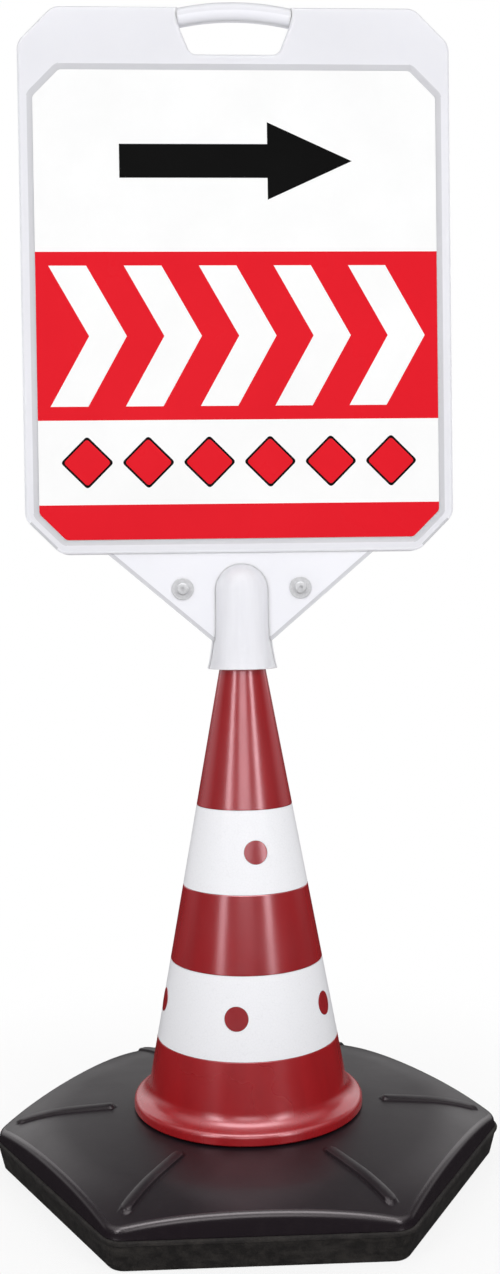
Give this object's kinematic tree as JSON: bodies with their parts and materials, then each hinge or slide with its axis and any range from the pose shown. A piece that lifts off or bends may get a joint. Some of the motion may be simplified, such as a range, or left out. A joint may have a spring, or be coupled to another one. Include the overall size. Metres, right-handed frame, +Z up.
{
  "type": "cone sign",
  "caption": "Free-standing sign: a two-sided board with a carry handle swivels on a red reflective traffic cone that is bolted to a black hexagonal base.",
  "frame": {"origin": "on the floor at the middle of the base's underside, on the cone's axis", "axes": "+Z up along the cone's axis, -Y out of the sign's front face, +X to the right of a viewer in front"},
  "size_m": [0.5194, 0.4566, 1.1887],
  "materials": {
    "tray_plastic": "rough recycled plastic, brown-black",
    "cover_plastic": "glossy black",
    "concrete": "cast concrete",
    "steel": "zinc-plated",
    "cone_plastic": "glossy deep red",
    "sleeve_film": "white reflective film",
    "shell_plastic": "milky translucent white",
    "print_sheet": "printed plastic sheet"
  },
  "bodies": {
    "stand": {"base_tray": "tray_plastic", "base_cover": "cover_plastic", "ballast_block": "concrete", "cover_screws": "steel", "anchor_bolts": "steel", "anchor_washers": "steel", "anchor_nuts": "steel", "cone_shell": "cone_plastic", "upper_sleeve": "sleeve_film", "lower_sleeve": "sleeve_film"},
    "sign_head": {"front_shell": "shell_plastic", "rear_shell": "shell_plastic", "front_print": "print_sheet", "rear_print": "print_sheet", "clamp_bolts": "steel", "clamp_washers": "steel", "clamp_nuts": "steel"}
  },
  "joints": [
    {"name": "head_swivel", "type": "hinge", "parent": "stand", "child": "sign_head", "pos_m": [0, 0, 0.592], "axis": [0, 0, 1], "continuous": true}
  ]
}
